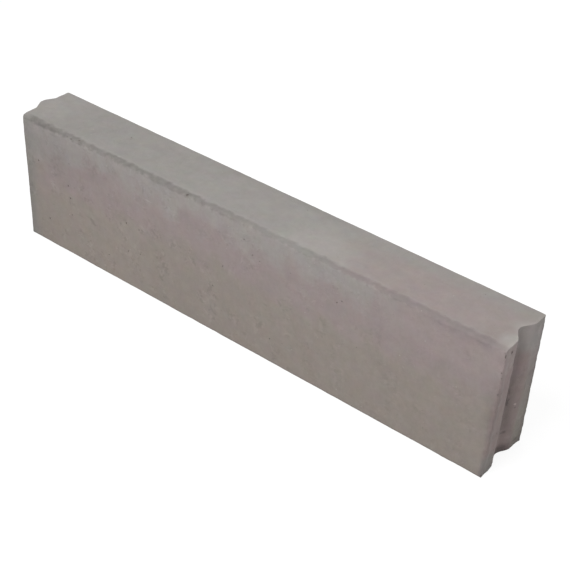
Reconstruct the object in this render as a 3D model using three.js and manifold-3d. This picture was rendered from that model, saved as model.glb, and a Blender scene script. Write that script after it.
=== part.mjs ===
// Concrete kerb stone, millimetres, Z up.
//
// One vibration-pressed casting that stands on its long narrow bed.
//   X runs along the kerb: the tongue is at the -X end and the groove at the +X end.
//   Y runs through the thickness: the road side, with the rounded nosing, faces -Y.
//   Z runs up from the bed.
// The origin is at the middle of the bed of the whole stone, tongue included.
import * as THREE from 'three';
import { mergeVertices } from 'three/addons/utils/BufferGeometryUtils.js';
import Module from 'manifold-3d';

// The stone between its two end shoulders.
const WORKING_LENGTH = 1000;
const THICKNESS = 115;
const HEIGHT = 250;

// Nosing along the top of the road side: how far it runs in over the top and down the face.
const NOSING_RUN = 9;
const NOSING_DROP = 6;

// Every other edge leaves the mould nearly sharp.
const EASED_ARRIS = 1.2;
const SHOULDER_ARRIS = 2;

// Tongue and groove run the full height, a little behind the middle of the thickness.
const JOINT_SETBACK = 2;
const TONGUE_ROOT = 50;
const TONGUE_CROWN = 9;
const TONGUE_PROJECTION = 12;
const GROOVE_MOUTH = 53;
const GROOVE_FLOOR = 9;
const GROOVE_DEPTH = 13.5;

// Roundings of the joint's own corners.
const CROWN_ROUND = 5;
const ROOT_ROUND = 3;
const FLOOR_ROUND = 5;
const LIP_ROUND = 3;

// Facets: segments in a half of each rounding, in the rim's easing and in the nosing.
const ROUND_SEGMENTS = 3;
const EASING_SEGMENTS = 2;
const NOSING_SEGMENTS = 12;
const CUTTER_OVERHANG = 5;

// The working length and the tongue are centred together on the origin.
const TONGUE_SHOULDER_X = -(WORKING_LENGTH - TONGUE_PROJECTION) / 2;
const GROOVE_SHOULDER_X = TONGUE_SHOULDER_X + WORKING_LENGTH;
const ROAD_FACE_Y = -THICKNESS / 2;
const BACK_FACE_Y = THICKNESS / 2;

// A corner of an outline, with the radius that rounds it.
function corner(x, y, radius) {
  return { point: new THREE.Vector2(x, y), radius };
}

// Closed outline through the corners, counter-clockwise, each one rounded by its own arc.
function roundedOutline(corners) {
  const shape = new THREE.Shape();
  corners.forEach((here, i) => {
    const before = corners[(i + corners.length - 1) % corners.length].point;
    const after = corners[(i + 1) % corners.length].point;
    const back = before.clone().sub(here.point).normalize();
    const ahead = after.clone().sub(here.point).normalize();
    const halfAngle = Math.acos(back.dot(ahead)) / 2;
    const reach = here.radius / Math.sin(halfAngle);
    const toCentre = back.clone().add(ahead).normalize();
    const centre = here.point.clone().addScaledVector(toCentre, reach);
    const start = here.point.clone().addScaledVector(back, reach * Math.cos(halfAngle));
    const end = here.point.clone().addScaledVector(ahead, reach * Math.cos(halfAngle));
    const turnsLeft = back.cross(ahead) < 0;
    if (i === 0) {
      shape.moveTo(start.x, start.y);
    } else {
      shape.lineTo(start.x, start.y);
    }
    const from = start.sub(centre).angle();
    const to = end.sub(centre).angle();
    shape.absarc(centre.x, centre.y, here.radius, from, to, !turnsLeft);
  });
  shape.closePath();
  return shape;
}

// Four corners of a joint profile at one end, from its -Y side to its +Y side.
// It leaves the shoulder at rootX, is flat at crownX, and narrows on the way.
function jointCorners(rootX, rootWidth, rootRound, crownX, crownWidth, crownRound) {
  return [
    corner(rootX, JOINT_SETBACK - rootWidth / 2, rootRound),
    corner(crownX, JOINT_SETBACK - crownWidth / 2, crownRound),
    corner(crownX, JOINT_SETBACK + crownWidth / 2, crownRound),
    corner(rootX, JOINT_SETBACK + rootWidth / 2, rootRound),
  ];
}

// Plan of the stone: a long rectangle with the tongue at one end and the groove at the other.
function planOutline() {
  const groove = jointCorners(
    GROOVE_SHOULDER_X, GROOVE_MOUTH, LIP_ROUND,
    GROOVE_SHOULDER_X - GROOVE_DEPTH, GROOVE_FLOOR, FLOOR_ROUND,
  );
  const tongue = jointCorners(
    TONGUE_SHOULDER_X, TONGUE_ROOT, ROOT_ROUND,
    TONGUE_SHOULDER_X - TONGUE_PROJECTION, TONGUE_CROWN, CROWN_ROUND,
  );
  return roundedOutline([
    corner(TONGUE_SHOULDER_X, ROAD_FACE_Y, SHOULDER_ARRIS),
    corner(GROOVE_SHOULDER_X, ROAD_FACE_Y, SHOULDER_ARRIS),
    ...groove,
    corner(GROOVE_SHOULDER_X, BACK_FACE_Y, SHOULDER_ARRIS),
    corner(TONGUE_SHOULDER_X, BACK_FACE_Y, SHOULDER_ARRIS),
    ...tongue.reverse(),
  ]);
}

// The plan carried up to full height, with its top and bottom rims eased.
function uprightBlock() {
  const block = new THREE.ExtrudeGeometry(planOutline(), {
    depth: HEIGHT - 2 * EASED_ARRIS,
    curveSegments: ROUND_SEGMENTS,
    bevelEnabled: true,
    bevelThickness: EASED_ARRIS,
    bevelSize: EASED_ARRIS,
    bevelOffset: -EASED_ARRIS,
    bevelSegments: EASING_SEGMENTS,
  });
  return block.translate(0, 0, EASED_ARRIS);
}

// What the nosing takes off, drawn in the section (Y across, Z up) and run along the whole stone.
function nosingCutter() {
  const section = new THREE.Shape();
  section.moveTo(ROAD_FACE_Y, HEIGHT - NOSING_DROP);
  section.absellipse(
    ROAD_FACE_Y + NOSING_RUN, HEIGHT - NOSING_DROP,
    NOSING_RUN, NOSING_DROP,
    Math.PI, Math.PI / 2, true,
  );
  section.lineTo(ROAD_FACE_Y + NOSING_RUN, HEIGHT + CUTTER_OVERHANG);
  section.lineTo(ROAD_FACE_Y - CUTTER_OVERHANG, HEIGHT + CUTTER_OVERHANG);
  section.lineTo(ROAD_FACE_Y - CUTTER_OVERHANG, HEIGHT - NOSING_DROP);
  section.closePath();
  const cutter = new THREE.ExtrudeGeometry(section, {
    depth: WORKING_LENGTH + 2 * CUTTER_OVERHANG,
    curveSegments: NOSING_SEGMENTS,
    bevelEnabled: false,
  });
  const sectionToStone = new THREE.Matrix4().makeBasis(
    new THREE.Vector3(0, 1, 0),
    new THREE.Vector3(0, 0, 1),
    new THREE.Vector3(1, 0, 0),
  );
  cutter.applyMatrix4(sectionToStone);
  return cutter.translate(TONGUE_SHOULDER_X - CUTTER_OVERHANG, 0, 0);
}

const wasm = await Module();
wasm.setup();

// A closed three.js geometry as a manifold-3d solid.
function toSolid(geometry) {
  const bare = geometry.clone();
  bare.deleteAttribute('normal');
  bare.deleteAttribute('uv');
  const merged = mergeVertices(bare);
  return new wasm.Manifold(new wasm.Mesh({
    numProp: 3,
    vertProperties: new Float32Array(merged.attributes.position.array),
    triVerts: new Uint32Array(merged.index.array),
  }));
}

// A manifold-3d solid as a three.js geometry.
function toGeometry(solid) {
  const mesh = solid.getMesh();
  const geometry = new THREE.BufferGeometry();
  geometry.setAttribute('position', new THREE.BufferAttribute(mesh.vertProperties, 3));
  geometry.setIndex(new THREE.BufferAttribute(mesh.triVerts, 1));
  geometry.computeVertexNormals();
  return geometry;
}

// Grey cement paste over sand: dull and slightly warm.
const pressedConcrete = new THREE.MeshStandardMaterial({
  color: 0x8f8d88,
  roughness: 0.92,
  metalness: 0,
});

function kerbStone() {
  const stone = toSolid(uprightBlock()).subtract(toSolid(nosingCutter()));
  const mesh = new THREE.Mesh(toGeometry(stone), pressedConcrete);
  mesh.name = 'kerb_stone';
  return mesh;
}

const kerb = new THREE.Group();
kerb.add(kerbStone());

export default kerb;
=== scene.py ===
"""Looks of a concrete kerb stone: one vibration-pressed casting on its narrow bed.

X runs along the kerb, from the tongued end to the grooved end. Y runs through it, with the
road side at -Y. Z runs up from the bed. Sizes are in metres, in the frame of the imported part.
"""
import math

import bmesh
import bpy
import numpy as np
from mathutils import Matrix, Vector


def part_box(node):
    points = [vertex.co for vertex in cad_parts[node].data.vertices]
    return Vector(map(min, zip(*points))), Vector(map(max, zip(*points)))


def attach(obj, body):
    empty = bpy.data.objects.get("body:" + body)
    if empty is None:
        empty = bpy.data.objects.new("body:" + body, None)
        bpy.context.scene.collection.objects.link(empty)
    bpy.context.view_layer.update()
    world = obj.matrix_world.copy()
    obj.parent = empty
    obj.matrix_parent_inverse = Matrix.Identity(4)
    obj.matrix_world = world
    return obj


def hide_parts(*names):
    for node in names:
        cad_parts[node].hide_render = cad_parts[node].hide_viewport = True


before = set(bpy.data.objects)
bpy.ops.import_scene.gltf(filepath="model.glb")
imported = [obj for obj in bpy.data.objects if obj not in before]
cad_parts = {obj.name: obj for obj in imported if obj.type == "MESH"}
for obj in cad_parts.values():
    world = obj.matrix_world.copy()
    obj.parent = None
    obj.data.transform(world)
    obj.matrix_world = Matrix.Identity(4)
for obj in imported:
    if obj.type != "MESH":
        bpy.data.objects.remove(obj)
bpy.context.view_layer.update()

bl_info = {
    "name": "Concrete kerb stone",
    "version": (1, 0, 0),
    "blender": (4, 5, 0),
    "location": "3D View > Sidebar > Kerb stone",
    "description": "Casts a pressed concrete kerb stone round its packed solid and sets its stage",
    "category": "Object",
}

MM = 0.001
NODE = "kerb_stone"
PIECE = "kerb_stone_cast"
BODY = "root"

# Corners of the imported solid.
LOW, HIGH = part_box(NODE)

# Names of what the stone's mesh carries for its finish: how near a point is to the nosing, to
# an arris and to an end, and which faces are the walls of pores and the tops of sand grains.
NOSING, ARRIS, END, PORE, GRAIN = "nosing", "arris", "end", "pore", "grain"

# Name of what the point of a blowhole carries: half its sizes.
HALF_SIZES = "size"

# Places of a Mix node's colour sockets.
MIX_A, MIX_B, MIX_RESULT = 6, 7, 2

# Spacing of the mesh along the edges.
FINE = 0.7 * MM


def linear(code):
    """The linear RGB of an sRGB hex colour."""
    channels = [int(code[i:i + 2], 16) / 255 for i in (1, 3, 5)]
    return [c / 12.92 if c <= 0.04045 else ((c + 0.055) / 1.055) ** 2.4 for c in channels]


def add(tree, kind, links=(), **settings):
    """Adds a node, sets its own settings, and feeds its inputs.

    An input is fed from a socket, from the first output of a node, or by a plain value.
    """
    node = tree.nodes.new(kind)
    for name, value in settings.items():
        setattr(node, name, value)
    for key, value in dict(links).items():
        if isinstance(value, bpy.types.Node):
            value = value.outputs[0]
        if isinstance(value, bpy.types.NodeSocket):
            tree.links.new(value, node.inputs[key])
        else:
            node.inputs[key].default_value = value
    return node


def bare_tree(holder):
    """Turns on the nodes of a material or a world, and gives their tree without a node in it."""
    holder.use_nodes = True
    holder.node_tree.nodes.clear()
    return holder.node_tree


def placed(name, data):
    """A new object of that data, unturned at the origin of the scene."""
    item = bpy.data.objects.new(name, data)
    bpy.context.scene.collection.objects.link(item)
    return item


# ---------------------------------------------------------------- what a user may change


def length_setting(name, description, millimetres):
    """A length, kept in metres."""
    return bpy.props.FloatProperty(
        name=name, description=description, default=millimetres * MM, unit="LENGTH")


def angle_setting(name, description, degrees):
    """An angle, kept in radians."""
    return bpy.props.FloatProperty(
        name=name, description=description, default=math.radians(degrees), unit="ROTATION")


def colour_setting(name, description, code):
    """A colour, given as its sRGB hex and kept linear."""
    return bpy.props.FloatVectorProperty(
        name=name, description=description, default=linear(code), subtype="COLOR")


class KerbStoneShape(bpy.types.PropertyGroup):
    """Sizes of the stone's section, arrises and end joint."""

    nosing_run: length_setting("Nosing run", "How far the nosing runs in over the top", 9)
    nosing_drop: length_setting("Nosing drop", "How far the nosing runs down the road face", 6)
    arris: length_setting("Arris", "About how far the long edges and the rims are eased", 1.2)
    shoulder_arris: length_setting(
        "Shoulder arris", "About how far the upright corners are eased before their wear", 2)
    knock: length_setting("Knock", "Most that the road corner at the grooved end is worn away", 9.5)
    foot_wear: length_setting(
        "Foot wear", "Most that the road corner at the tongued end is worn", 4.8)
    lean: length_setting("Lean", "How far the grooved end's cheeks stand back at the foot", 3.4)
    swell: length_setting("Swell", "How far the tongued end's head stands out by the back", 2.8)
    lip: length_setting("Lip", "Height of the lip where the top's paste ends at the nosing", 0.35)
    joint_setback: length_setting("Joint setback", "How far the joint stands behind the middle", 2)
    tongue_root: length_setting(
        "Tongue root", "Width of the tongue where it leaves the shoulder", 50)
    tongue_crown: length_setting("Tongue crown", "Width of the tongue's flat crown", 9)
    tongue_projection: length_setting("Tongue projection", "How far the tongue stands out", 12)
    groove_mouth: length_setting("Groove mouth", "Width of the groove at the shoulder", 53)
    groove_floor: length_setting("Groove floor", "Width of the groove's flat floor", 9)
    groove_depth: length_setting("Groove depth", "How deep the groove is", 13.5)


class KerbStoneSurface(bpy.types.PropertyGroup):
    """Sizes of the casting's skin: its relief, pores, chips and sand grains."""

    cell: length_setting("Cell", "Largest spacing of the mesh", 4.5)
    skin: length_setting("Skin", "How far the cast skin lies inside the packed solid", 0.2)
    relief: length_setting("Relief", "Depth of the gentle hollows in the skin", 0.6)
    nosing_relief: length_setting(
        "Nosing relief", "Depth of the ragged hollows along the nosing", 1.1)
    end_relief: length_setting("End relief", "Depth of the hollows of the two ends", 1.4)
    pinhole: length_setting("Largest pinhole", "Radius of the largest pinhole in the faces", 0.7)
    pore: length_setting("Largest pore", "Radius of the largest pore in the faces", 1.5)
    pit: length_setting("Largest pit", "Radius of the largest pit along the nosing", 1.9)
    chip: length_setting("Largest chip", "Radius of the largest chip on an arris", 3.2)
    grain: length_setting("Largest grain", "Radius of the largest sand grain that shows", 1.3)


class KerbStoneColours(bpy.types.PropertyGroup):
    """Colours of the concrete, linear."""

    top: colour_setting("Top", "Pressed top, the greyest paste", "#9b9793")
    warm_top: colour_setting(
        "Warm top", "The top towards the grooved end, a little pinker", "#9e9390")
    shoulder: colour_setting("Shoulder", "Upper part of the side faces", "#9c9693")
    flushed: colour_setting(
        "Flushed", "Upper part of the road face towards the grooved end", "#a09290")
    blush: colour_setting(
        "Blush", "Middle of the side faces, where sand tints the paste pink", "#988c8a")
    wall: colour_setting("Wall", "Lower part of the side faces, browner with sand", "#948b84")
    nosing: colour_setting("Nosing", "Open, unpasted sand along the nosing", "#7b7773")
    rubbed: colour_setting(
        "Rubbed", "The nosing towards the grooved end, rubbed and pinker", "#928686")
    dusty: colour_setting(
        "Dusty", "Greyer paste, by the upright arrises and half way along the nosing", "#8c8985")
    stained: colour_setting("Stained", "Paste of the grooved end, pinker with damp sand", "#998a88")
    # Pale is partly painted light: a pool of light on the top and a highlight behind the nosing.
    pale: colour_setting(
        "Pale", "Rich paste: patches on the top and a burr on the nosing", "#aba6a2")
    grain: colour_setting("Grain", "Pale sand grains", "#b9b2aa")
    pore: colour_setting("Pore", "Inside of a pore, damp and dark", "#6b645f")


class KerbStageSettings(bpy.types.PropertyGroup):
    """The camera and the lamps."""

    azimuth: angle_setting(
        "Azimuth", "Camera's bearing round the stone, 0 looking along +Y", 36.718)
    elevation: angle_setting("Elevation", "Camera's angle above the floor", 35.978)
    roll: angle_setting("Roll", "How far the camera is tipped about its own axis", 3.35)
    lens: bpy.props.FloatProperty(
        name="Lens", description="Focal length on a sensor 36 mm wide", default=80.62)
    softbox_power: bpy.props.FloatProperty(
        name="Softbox power", description="Power of the key lamp", default=21.4, unit="POWER")
    fill_power: bpy.props.FloatProperty(
        name="Fill power", description="Power of the low lamp behind the stone", default=6.0,
        unit="POWER")
    ambient: bpy.props.FloatProperty(
        name="Ambient", description="Strength of the even light from all round", default=0.465)


# ---------------------------------------------------------------- the stone's own mesh


def stations(low, high, spacing):
    """Places from low to high, each one about spacing(place) from the next."""
    samples = 8001
    fine = np.linspace(low, high, samples)
    middles = (fine[1:] + fine[:-1]) / 2
    steps = np.concatenate([[0], np.cumsum(np.diff(fine) / spacing(middles))])
    count = max(1, round(steps[-1]))
    return np.interp(np.linspace(0, steps[-1], count + 1), steps, fine)


def wander(places, seed, longest=160 * MM, shortest=7 * MM, waves=9):
    """A wandering line from 0 to 1 over places: sine waves of mixed length and phase, added up."""
    rng = np.random.default_rng(seed)
    smoothness = 0.35
    total = np.zeros_like(places)
    weight = 0
    for wave in np.geomspace(longest, shortest, waves):
        height = (wave / longest) ** smoothness
        phase = rng.uniform(0, 2 * math.pi)
        total += height * np.sin(2 * math.pi * places / (wave * rng.uniform(0.85, 1.15)) + phase)
        weight += height
    return np.clip(0.5 + total / weight, 0, 1)


def ramp(t, foot, head):
    """Rises from 0 to 1 as t does, with its two corners rounded over foot and head."""
    rise = np.clip(t, 0, 1)
    rise = np.where(np.abs(t) < foot, (t + foot) ** 2 / (4 * foot), rise)
    return np.where(np.abs(t - 1) < head, 1 - (1 + head - t) ** 2 / (4 * head), rise)


def joint_profile(y, shape, root, crown, reach):
    """How far a joint of that root, crown and reach stands out or goes in at each y.

    The roundings at its root and crown are shares of its sloped side.
    """
    root_round, crown_round = 0.17, 0.2
    flank = (root - crown) / 2
    from_root = (root / 2 - np.abs(y - shape.joint_setback)) / flank
    return reach * ramp(from_root, root_round, crown_round)


def ease(p, first, second, reaches, edge):
    """Turns the square edge between two faces of the block into a quarter ellipse.

    first and second are (axis, place of its face, way inward). reaches says how far the ellipse
    goes in from the edge along each. What is nearest the edge moves in and nothing moves out.
    Gives back edge, raised to how near each point is to this edge.
    """
    (i, at_i, in_i), (j, at_j, in_j) = first, second
    reach_i, reach_j = reaches
    a = np.clip(1 - (p[:, i] - at_i) * in_i / reach_i, 0, 1)
    b = np.clip(1 - (p[:, j] - at_j) * in_j / reach_j, 0, 1)
    p[:, i] += in_i * reach_i * a * (1 - np.sqrt(1 - b * b / 2))
    p[:, j] += in_j * reach_j * b * (1 - np.sqrt(1 - a * a / 2))
    return np.maximum(edge, np.minimum(a, b))


def grid_lines(shape, surface, x_low):
    """Where the block's grid lines lie along X, Y and Z: closest at its edges and its joint."""
    growth = 0.35
    corner_reach, arris_reach, in_joint = 2 * MM, 1 * MM, 2.2 * MM

    def near(place, edge, reach, spacing=FINE):
        """The spacing near an edge, growing to a cell's past its reach."""
        past = np.maximum(np.abs(place - edge) - reach, 0)
        return np.minimum(surface.cell, spacing + past * growth)

    return (
        stations(x_low, HIGH.x, lambda x: np.minimum(
            near(x, x_low, corner_reach), near(x, HIGH.x, corner_reach))),
        stations(LOW.y, HIGH.y, lambda y: np.minimum.reduce([
            near(y, LOW.y, shape.nosing_run), near(y, HIGH.y, arris_reach),
            near(y, shape.joint_setback, shape.groove_mouth / 2, in_joint)])),
        stations(LOW.z, HIGH.z, lambda z: np.minimum(
            near(z, LOW.z, arris_reach), near(z, HIGH.z, shape.nosing_drop))),
    )


def sheet(index):
    """The quads of a grid of point numbers, facing rows cross columns."""
    corners = (index[:-1, :-1], index[1:, :-1], index[1:, 1:], index[:-1, 1:])
    return np.stack([c.ravel() for c in corners], axis=1)


def gridded_block(lines):
    """The outside of a square block on those grid lines: its points and its quads."""
    grid = np.stack(np.meshgrid(*lines, indexing="ij"), axis=-1)
    shell = np.zeros(grid.shape[:3], bool)
    for axis in range(3):
        for side in (0, -1):
            np.moveaxis(shell, axis, 0)[side] = True
    index = np.full(shell.shape, -1)
    index[shell] = np.arange(shell.sum())
    return grid[shell], np.concatenate([
        sheet(index[:, :, 0].T), sheet(index[:, :, -1]),
        sheet(index[:, 0, :]), sheet(index[:, -1, :].T),
        sheet(index[0].T), sheet(index[-1]),
    ])


def wear_edges(p, square, shape, x_low):
    """Eases the block's edges but for the nosing, and gives how near each point is to one."""
    x, y, z = square.T
    west, east = (0, x_low, 1), (0, HIGH.x, -1)
    road, back = (1, LOW.y, 1), (1, HIGH.y, -1)
    bed, top = (2, LOW.z, 1), (2, HIGH.z, -1)
    edge = np.zeros(len(p))
    # Upright corners. The road ones are worn more: at the tongued end towards the foot, and at
    # the grooved end all the way but for its foot and head, and further along the kerb than in
    # across the end. The back one at the tongued end is the sharpest.
    foot = np.interp(z, [0, 120 * MM, 220 * MM], [1, 0.55, 0])
    exposed = np.interp(z, [0, 30 * MM, 190 * MM, 236 * MM, HIGH.z], [0.15, 1, 0.8, 0.3, 0.05])
    knocked = shape.knock * exposed * (0.3 + 0.7 * wander(z, 16))
    for seed, end, side, more, flat in (
            (10, west, road, shape.foot_wear * foot, 1), (11, west, back, -1 * MM, 1),
            (12, east, back, 0, 1), (16, east, road, knocked, 0.6)):
        worn = shape.shoulder_arris * (1 + 0.5 * wander(z, seed)) + more
        edge = ease(p, end, side, (worn, flat * worn), edge)
    # Rims of the ends, then the long arrises.
    for seed, (end, level) in enumerate([(west, bed), (west, top), (east, bed), (east, top)]):
        kept = 0.3 if (end, level) == (west, top) else 0.6
        worn = shape.arris * (kept + 0.7 * wander(y, 20 + seed))
        edge = ease(p, end, level, (worn, worn), edge)
    for seed, (side, level) in enumerate([(back, top), (road, bed), (back, bed)]):
        worn = shape.arris * (1 + 0.5 * wander(x, 30 + seed))
        edge = ease(p, side, level, (worn, worn), edge)
    return edge


def round_nosing(p, square, shape, x_low):
    """Rounds the nosing, sinks it below the top's lip, and gives how rough each point of it is."""
    x, y, z = square.T
    run = shape.nosing_run * (1 + 0.12 * (wander(x, 41) - 0.5))
    drop = shape.nosing_drop * (1 + 0.35 * (wander(x, 42) - 0.5))
    ease(p, (1, LOW.y, 1), (2, HIGH.z, -1), (run, drop), 0)
    # The paste of the top ends at the nosing in a small lip, on a line that wanders. It is
    # sharpest at the tongued end.
    sharp = np.interp(x, [x_low, -0.15, 0.2, HIGH.x], [1, 0.7, 0.3, 0.2])
    line = run + 3 * MM * sharp * (wander(x, 43, 60 * MM, 4 * MM) - 0.5)
    past_line = np.clip((line - (y - LOW.y)) / FINE, 0, 1)
    above_foot = np.clip(2 - (HIGH.z - z) / shape.nosing_drop, 0, 1)
    sunk = shape.lip * sharp * past_line * above_foot
    inward, downward = 0.6, 0.8
    p[:, 1] += inward * sunk
    p[:, 2] -= downward * sunk
    # The roughness fades a little way past the nosing, counted in its own sizes.
    fades_at = 1.35
    over = np.clip(fades_at - (y - LOW.y) / shape.nosing_run, 0, 1)
    down = np.clip(fades_at - (HIGH.z - z) / shape.nosing_drop, 0, 1)
    return np.minimum(over, down) * sharp


def shape_ends(p, square, shape, x_low):
    """Makes the tongue and the groove, and the unevenness of the ends beside them.

    Each end's own points move with its profile, and those behind them follow.
    """
    x, y, z = square.T
    follow = 40 * MM
    fading = 1.5
    west_share = np.clip(1 - (x - x_low) / follow, 0, 1) ** fading
    east_share = np.clip(1 - (HIGH.x - x) / follow, 0, 1) ** fading
    tongue = joint_profile(
        y, shape, shape.tongue_root, shape.tongue_crown, shape.tongue_projection)
    groove = joint_profile(y, shape, shape.groove_mouth, shape.groove_floor, shape.groove_depth)
    p[:, 0] -= tongue * west_share
    p[:, 0] -= groove * east_share

    # The tongued end's head stands out a little, most of all beside the tongue at the back.
    high_up = np.interp(z / MM, [130, 225], [0, 1])
    swollen = np.interp(y / MM, [-57, -30, -4, 8, 24, 31, 52, 57],
                        [0.25, 0.32, 0.07, 0.07, 0.3, 0.93, 0.85, 0.5])
    p[:, 0] -= shape.swell * high_up * swollen * west_share

    # The two cheeks beside the groove stand back at the foot, the far one but for its back.
    low_down = np.interp(z / MM, [0, 20, 60, 160], [0.85, 1, 0.65, 0])
    on_cheeks = np.interp(
        y / MM, [-20, 0, 20, 26, 31, 40, 50, 57], [1, 0.3, 0.1, 0.5, 1, 1, 0.6, 0])
    outside_groove = 1 - groove / shape.groove_depth
    p[:, 0] -= shape.lean * low_down * on_cheeks * outside_groove * east_share


def stone_mesh(shape, surface):
    """The casting as a closed mesh of quads: a gridded block, eased, jointed and worn."""
    x_low = LOW.x + shape.tongue_projection
    p, faces = gridded_block(grid_lines(shape, surface, x_low))
    square = p.copy()
    edge = wear_edges(p, square, shape, x_low)
    nosing = round_nosing(p, square, shape, x_low)
    shape_ends(p, square, shape, x_low)

    # How strongly each point belongs to an end of the stone. The tongued one is the smoother.
    reach = 9 * MM
    tongued = 0.12
    x = square[:, 0]
    end = np.maximum(tongued * np.clip(1 - (x - x_low) / reach, 0, 1),
                     np.clip(1 - (HIGH.x - x) / reach, 0, 1))
    mesh = bpy.data.meshes.new(PIECE)
    mesh.from_pydata(p.tolist(), [], faces.tolist())
    for name, values in ((NOSING, nosing), (ARRIS, edge), (END, end)):
        mesh.attributes.new(name, "FLOAT", "POINT").data.foreach_set("value", values)
    return mesh


# ---------------------------------------------------------------- the stone's surface


def lumps(tree, points, rotation, scale, ragged, facets):
    """Ragged balls laid at the points, as one mesh: what cuts a hole or stands as a grain.

    ragged is how far their faces are pushed about, and facets how often each ball is divided.
    """
    ragged_width = 1.3 * MM
    middle = (0.5, 0.5, 0.5)
    ball = add(tree, "GeometryNodeMeshIcoSphere", {"Radius": 1.0, "Subdivisions": facets})
    laid = add(tree, "GeometryNodeInstanceOnPoints", {
        "Points": points, "Instance": ball, "Rotation": rotation, "Scale": scale})
    real = add(tree, "GeometryNodeRealizeInstances", {0: laid})
    noise = add(tree, "ShaderNodeTexNoise", {"Scale": 1 / ragged_width, "Detail": 1.0})
    centred = add(tree, "ShaderNodeVectorMath", {0: noise.outputs["Color"], 1: middle},
                  operation="SUBTRACT")
    push = add(tree, "ShaderNodeVectorMath", {0: centred, "Scale": ragged}, operation="SCALE")
    return add(tree, "GeometryNodeSetPosition", {"Geometry": real, "Offset": push})


def scattered(tree, surface, where, size, kind, seed):
    """Lumps strewn over the surface, thickest where the field where is high, most of them small.

    kind is their least spacing, their number to the square metre, how long they are along the
    kerb and how deep into the face, both as shares of their radius, how ragged they are, and
    how often the ball is divided. size is the largest radius.
    """
    spacing, density, stretch, depth, ragged, facets = kind
    smallest = 0.4
    towards_small = 2.4
    most_turn = 0.6
    points = add(tree, "GeometryNodeDistributePointsOnFaces", {
        "Mesh": surface, "Distance Min": spacing, "Density Max": density,
        "Density Factor": where, "Seed": seed}, distribute_method="POISSON")
    luck = add(tree, "FunctionNodeRandomValue", {2: 0.0, 3: 1.0, "Seed": seed},
               data_type="FLOAT").outputs[1]
    share = add(tree, "ShaderNodeMath", {0: luck, 1: towards_small}, operation="POWER")
    radius = add(tree, "ShaderNodeMapRange", {"Value": share, "To Min": smallest})
    length = add(tree, "ShaderNodeMath", {0: radius, 1: size}, operation="MULTIPLY")
    scale = add(tree, "ShaderNodeVectorMath", {0: (stretch, 1.0, depth), "Scale": length},
                operation="SCALE")
    spin = add(tree, "FunctionNodeAlignRotationToVector",
               {"Rotation": points.outputs["Rotation"], "Vector": (1.0, 0.0, 0.0)},
               axis="X", pivot_axis="Z")
    turn = add(tree, "FunctionNodeRandomValue",
               {0: (0.0, 0.0, -most_turn), 1: (0.0, 0.0, most_turn), "Seed": seed + 1},
               data_type="FLOAT_VECTOR")
    spin = add(tree, "FunctionNodeRotateRotation", {"Rotation": spin, "Rotate By": turn},
               rotation_space="LOCAL")
    return lumps(tree, points.outputs["Points"], spin, scale, ragged, facets)


def cut(tree, stone, cutters):
    """The stone with the cutters taken out of it, their walls marked as pore."""
    marked = add(tree, "GeometryNodeStoreNamedAttribute",
                 {"Geometry": cutters, "Name": PORE, "Value": 1.0}, domain="FACE")
    return add(tree, "GeometryNodeMeshBoolean", {"Mesh 1": stone, "Mesh 2": marked},
               operation="DIFFERENCE", solver="MANIFOLD").outputs["Mesh"]


def relief_depth(tree, given):
    """How far each point of the skin is sunk: everywhere, more at the nosing and the ends.

    The hollows are wide and shallow over all, small along the nosing and middling on the ends.
    Flat skin is left between them, where their noise is low.
    """
    lowest, highest = 0.38, 0.8
    depth = given["Skin"]
    shares = [(45 * MM, 0.0, "Relief", 0.6, None), (10 * MM, 2.0, "Relief", 0.4, None),
              (5 * MM, 2.0, "Nosing relief", 1.0, NOSING), (14 * MM, 2.0, "End relief", 1.0, END)]
    for width, detail, name, share, where in shares:
        noise = add(tree, "ShaderNodeTexNoise", {"Scale": 1 / width, "Detail": detail})
        hollow = add(tree, "ShaderNodeMapRange", {
            "Value": noise.outputs["Fac"], "From Min": lowest, "From Max": highest,
            "To Max": share})
        if where:
            near = add(tree, "GeometryNodeInputNamedAttribute", {"Name": where},
                       data_type="FLOAT")
            hollow = add(tree, "ShaderNodeMath", {0: hollow, 1: near}, operation="MULTIPLY")
        depth = add(tree, "ShaderNodeMath", {0: hollow, 1: given[name], 2: depth},
                    operation="MULTIPLY_ADD")
    return depth


# The inputs of the skin's node tree, and the settings that they are fed from.
SKIN_INPUTS = {
    "Skin": "skin",
    "Relief": "relief",
    "Nosing relief": "nosing_relief",
    "End relief": "end_relief",
    "Largest pinhole": "pinhole",
    "Largest pore": "pore",
    "Largest pit": "pit",
    "Largest chip": "chip",
    "Largest grain": "grain",
}


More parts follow.
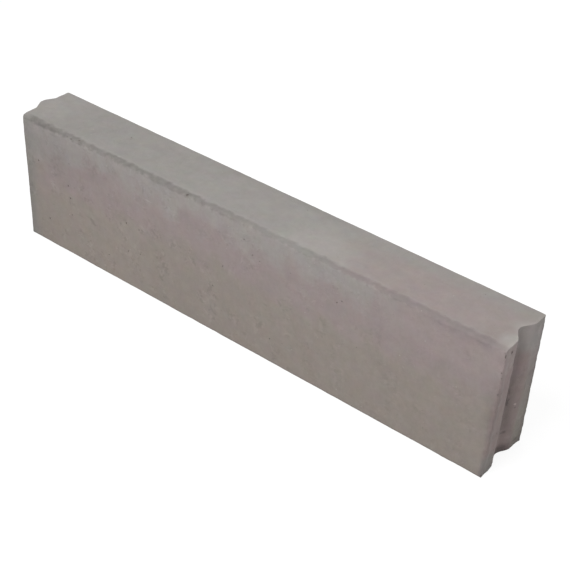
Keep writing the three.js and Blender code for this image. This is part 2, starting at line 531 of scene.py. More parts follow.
def surface_tree(material):
    """The casting's skin as Geometry Nodes: relief, then pores, pits and chips, then grains."""
    tree = bpy.data.node_groups.new("Pressed concrete skin", "GeometryNodeTree")
    tree.interface.new_socket("Geometry", in_out="INPUT", socket_type="NodeSocketGeometry")
    tree.interface.new_socket("Blowholes", in_out="INPUT", socket_type="NodeSocketObject")
    for name in SKIN_INPUTS:
        tree.interface.new_socket(name, in_out="INPUT", socket_type="NodeSocketFloat")
    tree.interface.new_socket("Geometry", in_out="OUTPUT", socket_type="NodeSocketGeometry")
    given = add(tree, "NodeGroupInput").outputs
    nosing, arris, end, own_size = (
        add(tree, "GeometryNodeInputNamedAttribute", {"Name": name}, data_type=kind)
        for name, kind in ((NOSING, "FLOAT"), (ARRIS, "FLOAT"), (END, "FLOAT"),
                           (HALF_SIZES, "FLOAT_VECTOR")))

    inward = add(tree, "ShaderNodeMath", {0: relief_depth(tree, given), 1: -1.0},
                 operation="MULTIPLY")
    normal = add(tree, "GeometryNodeInputNormal")
    offset = add(tree, "ShaderNodeVectorMath", {0: normal, "Scale": inward}, operation="SCALE")
    skin = add(tree, "GeometryNodeSetPosition", {"Geometry": given["Geometry"], "Offset": offset})
    stone = skin
    for name in (PORE, GRAIN):
        stone = add(tree, "GeometryNodeStoreNamedAttribute",
                    {"Geometry": stone, "Name": name, "Value": 0.0}, domain="FACE")

    # Pores lie in loose clusters over all faces, pits along the nosing by the tongued end, and
    # chips along the arrises, most of them at the ends.
    cluster_width = 60 * MM
    cluster = add(tree, "ShaderNodeTexNoise", {"Scale": 1 / cluster_width, "Detail": 1.0})
    cluster = add(tree, "ShaderNodeMapRange", {
        "Value": cluster.outputs["Fac"], "From Min": 0.4, "From Max": 0.7})
    bare = add(tree, "ShaderNodeMapRange", {"Value": nosing, "From Min": 0.7})
    loose = add(tree, "ShaderNodeMapRange", {"Value": end, "To Min": 0.1})
    loose = add(tree, "ShaderNodeMath", {0: arris, 1: loose}, operation="MULTIPLY")
    for name, where, kind, seed in (
            ("Largest pinhole", cluster, (3 * MM, 900.0, 1.0, 0.8, 0.5 * MM, 1), 2),
            ("Largest pore", cluster, (6 * MM, 150.0, 1.1, 0.7, 0.8 * MM, 2), 3),
            ("Largest pit", bare, (7 * MM, 9000.0, 1.5, 0.5, 2.0 * MM, 2), 5),
            ("Largest chip", loose, (9 * MM, 5000.0, 1.0, 0.35, 2.2 * MM, 2), 7)):
        stone = cut(tree, stone, scattered(tree, skin, where, given[name], kind, seed))
    named = add(tree, "GeometryNodeObjectInfo", {"Object": given["Blowholes"]})
    stone = cut(tree, stone, lumps(
        tree, named.outputs["Geometry"], (0.0, 0.0, 0.0), own_size, 1.0 * MM, 2))

    # Sand grains stand a little proud of the paste.
    proud = scattered(tree, skin, 1.0, given["Largest grain"],
                      (8 * MM, 300.0, 1.1, 0.12, 0.2 * MM, 1), 9)
    proud = add(tree, "GeometryNodeStoreNamedAttribute",
                {"Geometry": proud, "Name": GRAIN, "Value": 1.0}, domain="FACE")
    union = add(tree, "GeometryNodeMeshBoolean", {"Mesh 2": stone},
                operation="UNION", solver="MANIFOLD")
    tree.links.new(proud.outputs[0], union.inputs["Mesh 2"])

    # Crumbs that the cuts leave loose are brushed off: islands of few faces.
    few = 500.0
    island = add(tree, "GeometryNodeInputMeshIsland").outputs["Island Index"]
    size = add(tree, "GeometryNodeAccumulateField", {"Value": 1.0, "Group ID": island},
               domain="FACE").outputs["Total"]
    crumb = add(tree, "ShaderNodeMath", {0: size, 1: few}, operation="LESS_THAN")
    clean = add(tree, "GeometryNodeDeleteGeometry", {"Geometry": union, "Selection": crumb},
                domain="FACE")

    real = add(tree, "GeometryNodeRealizeInstances", {0: clean})
    whole = add(tree, "GeometryNodeTriangulate", {0: real})
    dressed = add(tree, "GeometryNodeSetMaterial", {"Geometry": whole, "Material": material})
    add(tree, "NodeGroupOutput", {0: dressed})
    return tree


# The blowholes that stand out, in millimetres: along from the tongued shoulder, in from the
# road face and up from the bed, then half the hole's size along, in and up.
BLOWHOLES = [
    (55, 0, 53, 1.6, 2.0, 1.8),
    (114, 0, 122, 2.4, 2.0, 2.0),
    (110, 0, 146, 1.4, 2.0, 2.0),
    (116, 0, 87, 1.8, 1.5, 1.3),
    (35, 0, 169, 1.4, 1.5, 1.6),
    (254, 0, 131, 1.6, 2.0, 2.2),
    (257, 0, 73, 1.2, 1.5, 1.8),
    (208, 0, 43, 1.3, 1.5, 1.3),
    (286, 0, 80, 1.2, 1.5, 1.6),
    (454, 0, 95, 1.3, 1.5, 1.6),
    (475, 0, 145, 1.2, 1.5, 1.5),
    (518, 0, 218, 1.8, 1.5, 1.3),
    (537, 0, 196, 1.3, 1.2, 1.3),
    (552, 0, 191, 1.3, 1.0, 1.2),
    (580, 0, 48, 1.4, 1.5, 1.5),
    (707, 0, 187, 1.5, 1.5, 1.5),
    (716, 0, 194, 1.4, 1.5, 1.3),
    (394, 2.5, 247.7, 2.4, 2.6, 2.6),
    (199, 73, 250, 1.3, 1.6, 1.0),
    (1000, 2, 238, 2.5, 2.0, 4.5),
    (1000, 19, 236, 1.5, 2.0, 2.6),
    (1000, 32, 206, 1.6, 1.6, 4.2),
    (999, 35, 163, 2.0, 1.8, 2.4),
    (1000, 34, 124, 3.0, 4.0, 5.5),
    (1000, 32, 74, 1.6, 1.8, 3.4),
    (1000, 3, 132, 2.0, 2.5, 3.5),
]


def blowhole_points(x_shoulder):
    """The named blowholes as loose points on the stone, each with its half sizes."""
    mesh = bpy.data.meshes.new("blowholes")
    places = [(x_shoulder + along * MM, LOW.y + inward * MM, LOW.z + up * MM)
              for along, inward, up, *_ in BLOWHOLES]
    mesh.from_pydata(places, [], [])
    sizes = mesh.attributes.new(HALF_SIZES, "FLOAT_VECTOR", "POINT")
    sizes.data.foreach_set("vector", [half * MM for hole in BLOWHOLES for half in hole[3:]])
    return placed("blowholes", mesh)


def mend(mesh):
    """Takes out the slivers that the cuts leave in a mesh, too narrow to see.

    Where one folds flat onto itself, the two faces left on the same corners go too.
    """
    widest = 0.001 * MM
    body = bmesh.new()
    body.from_mesh(mesh)
    bmesh.ops.dissolve_degenerate(body, dist=widest, edges=body.edges)
    bmesh.ops.triangulate(body, faces=[face for face in body.faces if len(face.verts) > 3])
    on_corners = {}
    for face in body.faces:
        on_corners.setdefault(frozenset(face.verts), []).append(face)
    folded = [face for faces in on_corners.values() if len(faces) > 1 for face in faces]
    bmesh.ops.delete(body, geom=folded, context="FACES")
    body.to_mesh(mesh)
    body.free()
    mesh.validate()


def skinned(piece, shape, surface, material):
    """Runs the skin's node tree on the piece and leaves the result as its plain mesh."""
    helper = blowhole_points(LOW.x + shape.tongue_projection)
    modifier = piece.modifiers.new("Skin", "NODES")
    tree = surface_tree(material)
    modifier.node_group = tree
    given = {name: getattr(surface, setting) for name, setting in SKIN_INPUTS.items()}
    given["Blowholes"] = helper
    for item in tree.interface.items_tree:
        if item.in_out == "INPUT" and item.name in given:
            modifier[item.identifier] = given[item.name]
    evaluated = piece.evaluated_get(bpy.context.evaluated_depsgraph_get())
    mesh = bpy.data.meshes.new_from_object(evaluated)
    mend(mesh)
    piece.modifiers.remove(modifier)
    piece.data = mesh
    bpy.data.objects.remove(helper)
    crease = math.radians(40)
    mesh.shade_smooth()
    mesh.set_sharp_from_angle(angle=crease)


# ---------------------------------------------------------------- the finish


def zone(tree, *sides):
    """How far a place lies inside a zone, from 0 to 1: what its sides give, multiplied.

    A side is a value, or a value followed by where its smooth rise begins and ends and, where
    they aren't 0 and 1, by what it rises from and to.
    """
    inside = None
    for side in sides:
        if isinstance(side, tuple):
            side = add(tree, "ShaderNodeMapRange", dict(enumerate(side)),
                       interpolation_type="SMOOTHSTEP")
        if inside is None:
            inside = side
        else:
            inside = add(tree, "ShaderNodeMath", {0: inside, 1: side}, operation="MULTIPLY")
    return inside


def mottle(tree, place, width, detail, least, most):
    """Patches of that width, from least to most for nearly all of it, and past them elsewhere."""
    noise = add(tree, "ShaderNodeTexNoise",
                {"Vector": place, "Scale": 1 / width, "Detail": detail}).outputs["Fac"]
    return add(tree, "ShaderNodeMapRange", {0: noise, 1: 0.25, 2: 0.75, 3: least, 4: most},
               clamp=False)


def nosing_shares(tree, place, x, y, z, shape):
    """How much shows of the nosing's open sand, its rubbed part, and the painted highlight behind
    it.

    The open sand lies in blotches. It is strongest at the tongued end, where it reaches
    furthest down, but for the last of the corner. Past mid-length a faint line of it is left
    along the nosing's crown. The rubbed part is soft. It comes in about mid-length, reaches
    furthest down the road face towards the grooved end, and ends just short of it.
    """
    wobble = mottle(tree, place, 14 * MM, 4.0, -3.5 * MM, 3.5 * MM)
    inner = add(tree, "ShaderNodeMath", {0: y, 1: wobble}, operation="ADD")
    lower = add(tree, "ShaderNodeMath", {0: z, 1: wobble}, operation="ADD")
    sag = zone(tree, (x, LOW.x + 105 * MM, LOW.x + 75 * MM, 0.0, 1.5 * MM))
    sagged = add(tree, "ShaderNodeMath", {0: lower, 1: sag}, operation="ADD")
    blotches = mottle(tree, place, 16 * MM, 3.0, 0.55, 1.2)
    edge = LOW.y + shape.nosing_run
    corner = LOW.x + shape.tongue_projection
    over = zone(tree, (inner, edge + 5.4 * MM, edge - 3 * MM))
    sand = zone(tree, over, (sagged, HIGH.z - 9 * MM, HIGH.z - 2 * MM), blotches,
                (x, -0.1, 0.15, 1.0, 0.2), (x, corner + 5 * MM, corner + 26 * MM, 0.2, 1.0))
    crown = zone(tree, (inner, edge + 1 * MM, edge - 5 * MM), (lower, HIGH.z - 8 * MM, HIGH.z),
                 (x, 0.12, 0.3, 0.0, 0.26))
    sand = add(tree, "ShaderNodeMath", {0: sand, 1: crown}, operation="ADD")
    rubbed_foot = zone(tree, (x, 0.32, 0.43, HIGH.z - 6 * MM, HIGH.z - 26 * MM))
    rubbed = zone(tree, (inner, edge + 6.5 * MM, edge - 2.5 * MM),
                  (lower, rubbed_foot, HIGH.z - 2.5 * MM), (x, -0.1, 0.2),
                  (x, HIGH.x - 14 * MM, HIGH.x - 32 * MM))
    # Just behind the nosing, the top's lip gets a painted highlight.
    behind = zone(tree, (inner, edge + 8 * MM, edge + 3 * MM))
    burr_highlight = add(tree, "ShaderNodeMath", {0: behind, 1: over}, operation="SUBTRACT")
    return sand, rubbed, zone(tree, burr_highlight, blotches)


# Pale patches on the top, in millimetres: along from the tongued shoulder, in from the road
# face, how far each reaches, and how strong it is. Most are richer paste.
PATCHES = [
    (999, 26, 36, 0.85),
    (999, 64, 36, 0.85),
    # These two are a painted pool of light, half way along by the road face.
    (644, 22, 90, 0.5),
    (700, 18, 22, 0.6),
    (-6, 82, 120, 0.45),
]


def paste_colour(tree, place, x, y, z, shape, colours):
    """The concrete's colour: its zones from bed to top, the blush, the nosing, pores, grains."""
    opaque = {name: tuple(getattr(colours, name)) + (1.0,) for name in colours.__annotations__}
    pore, grain, end = (add(tree, "ShaderNodeAttribute", attribute_name=name).outputs["Fac"]
                        for name in (PORE, GRAIN, END))
    # Faint blotches push the borders of the zones about.
    push = mottle(tree, place, 45 * MM, 3.0, -35 * MM, 35 * MM)
    pushed = add(tree, "ShaderNodeMath", {0: z, 1: push}, operation="ADD")
    # Towards the tongued end the zones lie lower, and the blush starts a little in from it.
    # Towards the grooved one the upper zone flushes.
    corner = LOW.x + shape.tongue_projection
    lowered = zone(tree, (x, corner + 140 * MM, corner + 40 * MM, 0.0, 32 * MM))
    pushed = add(tree, "ShaderNodeMath", {0: pushed, 1: lowered}, operation="ADD")
    top = zone(tree, (z, HIGH.z - 3.4 * MM, HIGH.z - 1.2 * MM))
    # The grooved end is stained but for its back and, on a slant, its head.
    grooved = zone(tree, end, (x, 0.3, 0.4))
    slanted = add(tree, "ShaderNodeMath", {0: y, 1: 0.5, 2: z}, operation="MULTIPLY_ADD")
    sand, rubbed, burr_highlight = nosing_shares(tree, place, x, y, z, shape)
    layers = [
        ("blush", 1.0, [(pushed, 108 * MM, 172 * MM), (x, corner + 12 * MM, corner + 70 * MM)]),
        ("shoulder", 1.0, [(pushed, 180 * MM, 232 * MM), (x, 0.22, 0.38, 1.0, 0.2)]),
        ("flushed", 0.5, [(pushed, 165 * MM, 215 * MM), (x, 0.25, 0.4)]),
        ("dusty", 0.75, [(x, corner + 38 * MM, corner + 8 * MM)]),
        ("stained", 0.8, [grooved, (y, 34 * MM, 22 * MM), (z, 235 * MM, 185 * MM)]),
        ("dusty", 0.4, [grooved, (y, 26 * MM, 40 * MM)]),
        ("shoulder", 0.85, [grooved, (y, -14 * MM, 2 * MM), (slanted, 200 * MM, 220 * MM)]),
        ("dusty", 0.8, [grooved, (y, -22 * MM, -30 * MM), (z, 48 * MM, 26 * MM)]),
        ("top", 1.0, [top]),
        ("warm_top", 1.0, [top, (x, 0.1, 0.3), (y, 10 * MM, 45 * MM, 1.0, 0.2)]),
    ]
    # How much the blotches fray a pale patch, and how much of its reach is full.
    frayed, core = 0.3, 0.2
    for along, inward, reach, most in PATCHES:
        centre = (corner + along * MM, LOW.y + inward * MM, HIGH.z)
        away = add(tree, "ShaderNodeVectorMath", {0: place, 1: centre},
                   operation="DISTANCE").outputs["Value"]
        away = add(tree, "ShaderNodeMath", {0: push, 1: frayed, 2: away}, operation="MULTIPLY_ADD")
        layers.append(("pale", most, [top, (away, reach * MM, core * reach * MM)]))
    # The pale strip behind the nosing is a painted highlight on the top's lip.
    layers += [("pale", 0.3, [burr_highlight]), ("dusty", 0.9, [rubbed, (x, 0.25, 0.17)]),
               ("rubbed", 0.9, [rubbed, (x, 0.15, 0.24)]), ("nosing", 0.88, [sand]),
               ("grain", 0.4, [grain]), ("pore", 0.6, [pore])]

    colour = opaque["wall"]
    for name, most, sides in layers:
        part = add(tree, "ShaderNodeMath", {0: zone(tree, *sides), 1: most},
                   operation="MULTIPLY", use_clamp=True)
        colour = add(tree, "ShaderNodeMix", {0: part, MIX_A: colour, MIX_B: opaque[name]},
                     data_type="RGBA").outputs[MIX_RESULT]
    # Sand of mixed kinds tints the paste by a hair, in patches.
    patch_width, spread = 22 * MM, 0.1
    tint = add(tree, "ShaderNodeTexNoise",
               {"Vector": place, "Scale": 1 / patch_width, "Detail": 3.0}).outputs["Color"]
    tint = add(tree, "ShaderNodeVectorMath", {
        0: tint, 1: (spread,) * 3, 2: (1 - spread / 2,) * 3}, operation="MULTIPLY_ADD")
    return add(tree, "ShaderNodeVectorMath", {0: colour, 1: tint}, operation="MULTIPLY")


# Soft marks on the paste, in millimetres: along, in and up as for the blowholes, half sizes,
# and how much lighter each leaves the paste, or darker if below 0. They are dirt and paste in
# the open sand of the nosing, flecks of lime, scratches, and stains and rubbed places on the
# grooved end.
MARKS = [
    (15, 0, 246, 7, 6, 5, 0.16),
    (33, 0, 244, 8, 5, 4.5, -0.16),
    (47, 0, 248, 11, 6, 8, -0.1),
    (74, 0, 248, 12, 5, 6, -0.16),
    (97, 3, 247, 7, 8, 6, 0.08),
    (106, 0, 247, 6, 5, 4, -0.07),
    (136, 3, 247, 16, 8, 6, 0.11),
    (150, 0, 245, 62, 3, 4.5, 0.06),
    (216, 0, 249, 5, 7, 4, -0.06),
    (233, 3, 247, 15, 8, 6, 0.08),
    (260, 1, 250, 9, 6, 4, -0.1),
    (308, 3, 250, 15, 7, 3, -0.07),
    (84, 0, 242.5, 13, 3, 2.4, 0.13),
    (77, 0, 237, 12, 3, 2.2, -0.1),
    (137, 18, 250, 6, 2, 2, 0.09),
    (202, 70, 250, 3, 4, 2, -0.1),
    (229, 12, 250, 3, 3, 2.5, 0.3),
    (267, 0, 239, 3, 2, 7, 0.06),
    (397, 0, 243, 3, 2, 2.5, 0.12),
    (402, 3, 247, 6, 8, 6, 0.08),
    (138, 0, 95, 12, 2, 1.6, -0.07),
    (160, 0, 101, 12, 2, 2.2, -0.06),
    (165, 0, 120, 6, 2, 6, -0.06),
    (304, 0, 199.5, 10, 2, 1.8, 0.16),
    (295, 0, 215, 2.2, 2, 7, -0.13),
    (942, 0, 211, 5, 2, 1.6, -0.07),
    (956, 0, 243, 6, 2, 1.6, -0.08),
    (960, 5, 250, 6, 2, 2, -0.07),
    (998, 0, 243, 3, 2, 5, -0.2),
    (1000, 19, 236, 3, 2.5, 3.5, -0.3),
    (1000, 12, 212, 12, 17, 30, 0.1),
    (1000, 25, 215, 12, 6, 14, 0.09),
    (1000, 4, 184, 8, 5, 10, 0.09),
    (1000, 5, 80, 8, 6, 28, -0.08),
    (1000, 97, 190, 6, 15, 40, 0.04),
    (1000, 98, 72, 6, 14, 46, 0.11),
    (1000, 103, 145, 5, 7, 10, -0.12),
    (1000, 103, 226, 5, 8, 14, 0.1),
    (987, 64, 126, 5, 3.5, 9, -0.3),
    (987, 62.5, 114, 4, 2.5, 8, -0.3),
    (987.5, 64.5, 104, 5, 4, 9, -0.5),
    (995, 78, 96.5, 3, 2.2, 2.4, 0.6),
    (996, 79, 89.5, 3, 2.5, 3, -0.4),
    (1000, 95, 122, 3, 3, 12, 0.1),
    (1000, 91, 126, 3, 1.6, 9, -0.2),
    (989, 68, 42, 5, 7, 3.5, -0.35),
    (994, 76, 30, 5, 6, 7, 0.12),
    (990, 62, 12, 9, 11, 9, -0.14),
    (1000, 98, 12, 5, 13, 3, -0.3),
]


def marked_factor(tree, place, corner):
    """What the soft marks make of the paste, as one factor. Their outlines are ragged.

    Each fades from where it is full to where it ends, counted in its half sizes.
    """
    full, ends = 0.3, 1.3
    fray = mottle(tree, place, 3 * MM, 2.0, -0.35, 0.35)
    factor = 1.0
    for along, inward, up, *half, change in MARKS:
        centre = (corner + along * MM, LOW.y + inward * MM, LOW.z + up * MM)
        away = add(tree, "ShaderNodeVectorMath", {0: place, 1: centre}, operation="SUBTRACT")
        away = add(tree, "ShaderNodeVectorMath", {0: away, 1: [h * MM for h in half]},
                   operation="DIVIDE")
        away = add(tree, "ShaderNodeVectorMath", {0: away}, operation="LENGTH").outputs["Value"]
        away = add(tree, "ShaderNodeMath", {0: away, 1: fray}, operation="ADD")
        factor = zone(tree, factor, (away, ends, full, 1.0, 1 + change))
    return factor


def sand_tones(tree, place, x, z):
    """The tones of the sand in the paste, which the trowel has closed on the top."""
    closed = zone(tree, (z, HIGH.z - 3 * MM, HIGH.z - 1 * MM, 1.0, 0.4))
    # Upright drag marks of the mould, about three times as tall as wide, then the sand's
    # freckle, drawn coarser than its grains so that it shows.
    drawn = add(tree, "ShaderNodeVectorMath", {0: place, 1: (1.0, 1.0, 0.3)}, operation="MULTIPLY")
    tones = [(zone(tree, mottle(tree, at, width, detail, -1.0, 1.0), closed), change)
             for at, width, detail, change in (
                 (drawn, 4 * MM, 1.0, 0.013), (place, 1.6 * MM, 2.0, 0.006),
                 (place, 5 * MM, 2.0, 0.028))]
    tones += [(mottle(tree, place, width, 2.0, -1.0, 1.0), 0.035) for width in (13 * MM, 30 * MM)]
    # In patches, sand shows through the paste in dark and pale flecks. They are faintest high
    # up and at the grooved end.
    patchy = mottle(tree, place, 34 * MM, 1.0, -1.5, 1.9)
    for width, change in ((9 * MM, -0.13), (12 * MM, 0.1)):
        fleck = zone(tree, (mottle(tree, place, width, 1.5, 0.0, 1.0), 0.6, 0.8),
                     (patchy, 0.1, 1.0), (x, -0.2, 0.35, 1.0, 0.5),
                     (z, 200 * MM, 130 * MM, 0.5, 1.0), closed)
        tones.append((fleck, change))
    return tones


def place_tones(tree, x, y, z, shape):
    """The tones of whole places: dull and pale stretches, and painted light and shade."""
    corner = LOW.x + shape.tongue_projection
    end, arris = (add(tree, "ShaderNodeAttribute", attribute_name=name).outputs["Fac"]
                  for name in (END, ARRIS))
    below_top = (z, HIGH.z - 1.2 * MM, HIGH.z - 3.4 * MM)
    places = [
        # The side faces are a little dull by the tongued end, above mid-height.
        (-0.05, [(x, corner + 135 * MM, corner + 100 * MM),
                 (x, corner + 15 * MM, corner + 45 * MM), (z, 120 * MM, 180 * MM), below_top]),
        (-0.05, [(x, corner + 240 * MM, corner + 150 * MM), (z, 172 * MM, 190 * MM),
                 (z, 230 * MM, 215 * MM)]),
        # Lower down they are a little paler along their first third.
        (0.04, [(x, corner + 330 * MM, corner + 260 * MM),
                (x, corner + 40 * MM, corner + 90 * MM), (z, 150 * MM, 120 * MM)]),
        # The top is a little duller along the back, half way along.
        (-0.06, [(z, HIGH.z - 3 * MM, HIGH.z - 1 * MM), (y, 36 * MM, 52 * MM),
                 (x, -0.18, -0.05), (x, 0.2, 0.1)]),
        # Painted light makes the ends lighter high up. Painted shade darkens the groove deep
        # inside, less near the top and just above the foot, and most at the foot, and the back
        # cheek's foot.
        (0.13, [end, (z, 50 * MM, 220 * MM)]),
        (-0.25, [end, (x, HIGH.x - 4 * MM, HIGH.x - 0.95 * shape.groove_depth),
                 (z, 232 * MM, 200 * MM, 0.35, 1.0), (z, 30 * MM, 60 * MM, 0.2, 1.0)]),
        (-0.42, [end, (x, HIGH.x - 2 * MM, HIGH.x - 9 * MM), (z, 22 * MM, 7 * MM)]),
        (-0.1, [end, (y, 10 * MM, 22 * MM), (z, 20 * MM, 12 * MM)]),
        # Painted shadow darkens the bed's edge, painted shade the arrises, less so at the grooved
        # end.
        (-0.16, [(z, LOW.z + 5.5 * MM, LOW.z + 1 * MM)]),
        (-0.1, [arris, below_top]),
        (0.06, [arris, (x, 0.45, 0.49), (z, 12 * MM, 30 * MM)]),
    ]
    return [(zone(tree, *sides), change) for change, sides in places]


def corner_shade_tones(tree, place, z, corner):
    """Painted shade on three rounded upright corners: the paste is darker near them.

    On the road corner at the grooved end it lies widest at mid-height, and wider on the road
    face than on the end.
    """
    wobble = mottle(tree, place, 14 * MM, 3.0, -4 * MM, 4 * MM)
    clear = (z, HIGH.z - 5 * MM, HIGH.z - 20 * MM)
    tones = []
    # Each row: the change, the corner's place, how many times as wide it is on the road face as
    # on the end, how far it reaches and how far it is full, and its sides up and down.
    for change, at_x, at_y, wider, reach, full, sides in (
            (-0.11, HIGH.x, LOW.y, 1.4, 26, 9, [(z, 75 * MM, 115 * MM), (z, 205 * MM, 165 * MM)]),
            (-0.05, HIGH.x, LOW.y + 3 * MM, 1.0, 15, 3, [(z, 110 * MM, 75 * MM)]),
            (-0.06, HIGH.x, LOW.y, 1.4, 20, 4, [clear, (z, 165 * MM, 205 * MM)]),
            (-0.1, corner, LOW.y, 1.0, 24, 8, [(z, 175 * MM, 105 * MM)]),
            (-0.16, HIGH.x, HIGH.y, 1.0, 11, 3, [clear])):
        flat = add(tree, "ShaderNodeVectorMath", {0: place, 1: (1.0, wider, 0.0)},
                   operation="MULTIPLY")
        away = add(tree, "ShaderNodeVectorMath", {0: flat, 1: (at_x, wider * at_y, 0.0)},
                   operation="DISTANCE").outputs["Value"]
        away = add(tree, "ShaderNodeMath", {0: away, 1: wobble}, operation="ADD")
        tones.append((zone(tree, (away, reach * MM, full * MM), *sides), change))
    return tones


def shade(tree, place, x, y, z, shape):
    """What darkens or lightens the paste, as one factor near 1."""
    corner = LOW.x + shape.tongue_projection
    factor = marked_factor(tree, place, corner)
    for share, change in (*sand_tones(tree, place, x, z), *place_tones(tree, x, y, z, shape),
                          *corner_shade_tones(tree, place, z, corner)):
        tone = add(tree, "ShaderNodeMath", {0: share, 1: change, 2: 1.0}, operation="MULTIPLY_ADD")
        factor = zone(tree, factor, tone)
    return factor


def pressed_concrete(shape, colours):
    """Vibration-pressed concrete: cement paste over sand, dull, with no sheen.

    The pressed top is the greyest. The side faces are browner towards the bed and blush at
    mid-height, with faint upright drag marks from the mould and a freckle of sand. The nosing
    has little paste on it, so its open sand reads dark, most of all at the tongued end.
    """
    material = bpy.data.materials.new("Vibration-pressed concrete")
    tree = bare_tree(material)
    place = add(tree, "ShaderNodeTexCoord").outputs["Object"]
    x, y, z = add(tree, "ShaderNodeSeparateXYZ", {0: place}).outputs
    colour = paste_colour(tree, place, x, y, z, shape, colours)
    factor = shade(tree, place, x, y, z, shape)
    base = add(tree, "ShaderNodeVectorMath", {0: colour, "Scale": factor}, operation="SCALE")

    # Sand under the paste: fine and coarse grit, with rough patches where single lumps stand
    # up out of it. It is softer on the top, which the trowel has closed. The lumps' height is
    # counted in the grit's.
    grit_height, lump_height = 0.2 * MM, 10.0
    fine, coarse, lumpy = (
        add(tree, "ShaderNodeTexNoise",
            {"Vector": place, "Scale": 1 / width, "Detail": 2.0}).outputs["Fac"]
        for width in (1.2 * MM, 3 * MM, 8 * MM))
    lump = zone(tree, (mottle(tree, place, 34 * MM, 1.0, 0.0, 1.0), 0.47, 0.72),
                (lumpy, 0.55, 0.66), (x, -0.2, 0.35, 1.0, 0.45))
    grit = add(tree, "ShaderNodeMath", {0: fine, 1: coarse}, operation="ADD")
    grit = add(tree, "ShaderNodeMath", {0: lump, 1: lump_height, 2: grit}, operation="MULTIPLY_ADD")
    strength = zone(tree, (z, HIGH.z - 3 * MM, HIGH.z - 1 * MM, 0.36, 0.25))
    bump = add(tree, "ShaderNodeBump",
               {"Strength": strength, "Distance": grit_height, "Height": grit})
    rough = add(tree, "ShaderNodeMapRange", {0: coarse, 1: 0.3, 2: 0.7, 3: 0.84, 4: 0.96})
    shader = add(tree, "ShaderNodeBsdfPrincipled", {
        "Base Color": base, "Roughness": rough, "Normal": bump})
    add(tree, "ShaderNodeOutputMaterial", {"Surface": shader})
    return material


# ---------------------------------------------------------------- the stage


def seen_ray(tree):
    """1 for a ray from the camera, a reflection or a transmission, and 0 for lighting."""
    path = add(tree, "ShaderNodeLightPath").outputs
    seen = add(tree, "ShaderNodeMath",
               {0: path["Is Camera Ray"], 1: path["Is Glossy Ray"]}, operation="ADD")
    return add(tree, "ShaderNodeMath", {0: seen, 1: path["Is Transmission Ray"]},
               operation="ADD", use_clamp=True)


def white_floor():
    """A wide white floor that keeps the stone's shadow."""
    mesh = bpy.data.meshes.new("studio_floor")
    half = 30.0
    mesh.from_pydata([(-half, -half, LOW.z), (half, -half, LOW.z), (half, half, LOW.z),
                      (-half, half, LOW.z)], [], [(0, 1, 2, 3)])
    floor = placed("studio_floor", mesh)
    material = bpy.data.materials.new("Matt white floor")
    tree = bare_tree(material)
    # It lights the stone as white paint does. What is seen of it glows, with a thin share of
    # paint that takes the shadow.
    paint, thin_paint, glow = 0.8, 0.22, 0.88
    painted = add(tree, "ShaderNodeBsdfDiffuse", {"Color": (paint, paint, paint, 1.0)})
    thin = add(tree, "ShaderNodeBsdfDiffuse", {"Color": (thin_paint, thin_paint, thin_paint, 1.0)})
    glowing = add(tree, "ShaderNodeEmission", {"Strength": glow})
    shown = add(tree, "ShaderNodeAddShader", {0: thin, 1: glowing})
    either = add(tree, "ShaderNodeMixShader", {0: seen_ray(tree), 1: painted, 2: shown})
    add(tree, "ShaderNodeOutputMaterial", {"Surface": either})
    mesh.materials.append(material)


def even_light(strength):
    """The same light from all round, with white behind it for what is seen."""
    world = bpy.data.worlds.new("Studio")
    bpy.context.scene.world = world
    tree = bare_tree(world)
    level = add(tree, "ShaderNodeMapRange",
                {"Value": seen_ray(tree), "To Min": strength, "To Max": 1.0})
    back = add(tree, "ShaderNodeBackground", {"Color": (1.0, 1.0, 1.0, 1.0), "Strength": level})
    add(tree, "ShaderNodeOutputWorld", {"Surface": back})


def softbox(name, power, place, target):
    """A large square lamp at a place, turned to a target."""
    lamp = bpy.data.lights.new(name, "AREA")
    lamp.shape = "SQUARE"
    lamp.size = 0.9
    lamp.energy = power
    holder = placed(name, lamp)
    holder.location = place
    holder.rotation_euler = (Vector(place) - Vector(target)).to_track_quat("Z", "Y").to_euler()


def camera(stage):
    """The camera, aimed a little past the middle of the stone."""
    data = bpy.data.cameras.new("Camera")
    data.sensor_width = 36
    data.lens = stage.lens
    holder = placed("Camera", data)
    aim = Vector((54.33 * MM, 19.07 * MM, 101.62 * MM))
    distance = 2.1449
    turn = (Matrix.Rotation(stage.azimuth, 4, "Z")
            @ Matrix.Rotation(math.pi / 2 - stage.elevation, 4, "X")
            @ Matrix.Rotation(stage.roll, 4, "Z"))
    holder.matrix_world = Matrix.Translation(aim + turn.col[2].xyz * distance) @ turn
    bpy.context.scene.camera = holder


# ---------------------------------------------------------------- operators and panel


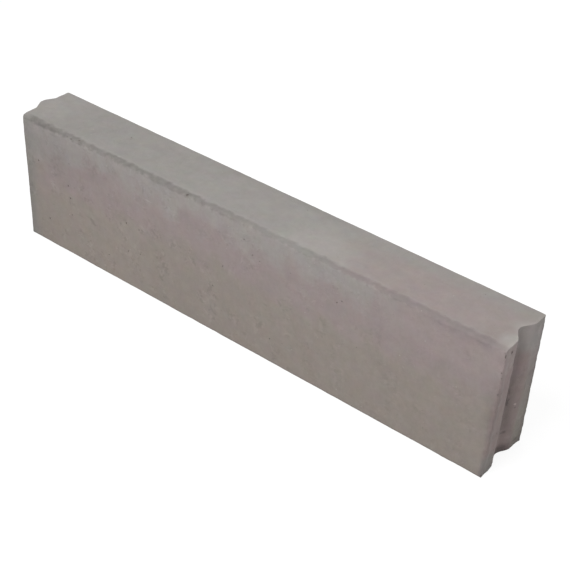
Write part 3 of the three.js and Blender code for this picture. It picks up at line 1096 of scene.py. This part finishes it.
class KERB_OT_cast_stone(bpy.types.Operator):
    """Casts the stone: its mesh, its skin of pores and grains, and its concrete"""

    bl_idname = "kerb.cast_stone"
    bl_label = "Cast the stone"

    def execute(self, context):
        """Makes the piece and gives it to the frame."""
        scene = context.scene
        shape, surface = scene.kerb_shape, scene.kerb_surface
        piece = placed(PIECE, stone_mesh(shape, surface))
        skinned(piece, shape, surface, pressed_concrete(shape, scene.kerb_colours))
        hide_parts(NODE)
        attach(piece, BODY)
        return {"FINISHED"}


class KERB_OT_set_stage(bpy.types.Operator):
    """Sets the white floor, the even light, the two lamps and the camera"""

    bl_idname = "kerb.set_stage"
    bl_label = "Set the stage"

    def execute(self, context):
        """Makes the stage round the stone."""
        stage = context.scene.kerb_stage
        white_floor()
        even_light(stage.ambient)
        # The key lamp is high up on the road side. The fill is low, so it leaves the top alone.
        softbox("Softbox", stage.softbox_power, place=(0.12, -1.1, 1.8), target=(0.08, 0, 0.15))
        softbox("Fill", stage.fill_power, place=(-0.7, 2.0, 0.3), target=(0, 0, 0.12))
        camera(stage)
        context.scene.view_settings.view_transform = "Standard"
        return {"FINISHED"}


class KERB_PT_panel(bpy.types.Panel):
    """Lists the steps and what can be changed."""

    bl_label = "Kerb stone"
    bl_idname = "KERB_PT_panel"
    bl_space_type = "VIEW_3D"
    bl_region_type = "UI"
    bl_category = "Kerb stone"

    def draw(self, context):
        """Draws the steps, then each group of settings."""
        for step in (KERB_OT_cast_stone, KERB_OT_set_stage):
            self.layout.operator(step.bl_idname)
        for name in GROUPS:
            box = self.layout.box()
            group = getattr(context.scene, name)
            for setting in group.__annotations__:
                box.prop(group, setting)


GROUPS = {
    "kerb_shape": KerbStoneShape,
    "kerb_surface": KerbStoneSurface,
    "kerb_colours": KerbStoneColours,
    "kerb_stage": KerbStageSettings,
}
CLASSES = (*GROUPS.values(), KERB_OT_cast_stone, KERB_OT_set_stage, KERB_PT_panel)


def register():
    """Registers the classes and hangs the settings on the scene."""
    for each in CLASSES:
        bpy.utils.register_class(each)
    for name, group in GROUPS.items():
        setattr(bpy.types.Scene, name, bpy.props.PointerProperty(type=group))


def unregister():
    """Takes the settings and the classes away again."""
    for name in GROUPS:
        delattr(bpy.types.Scene, name)
    for each in reversed(CLASSES):
        bpy.utils.unregister_class(each)


def main():
    """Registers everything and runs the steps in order."""
    register()
    bpy.ops.kerb.cast_stone()
    bpy.ops.kerb.set_stage()


if __name__ == "__main__":
    main()
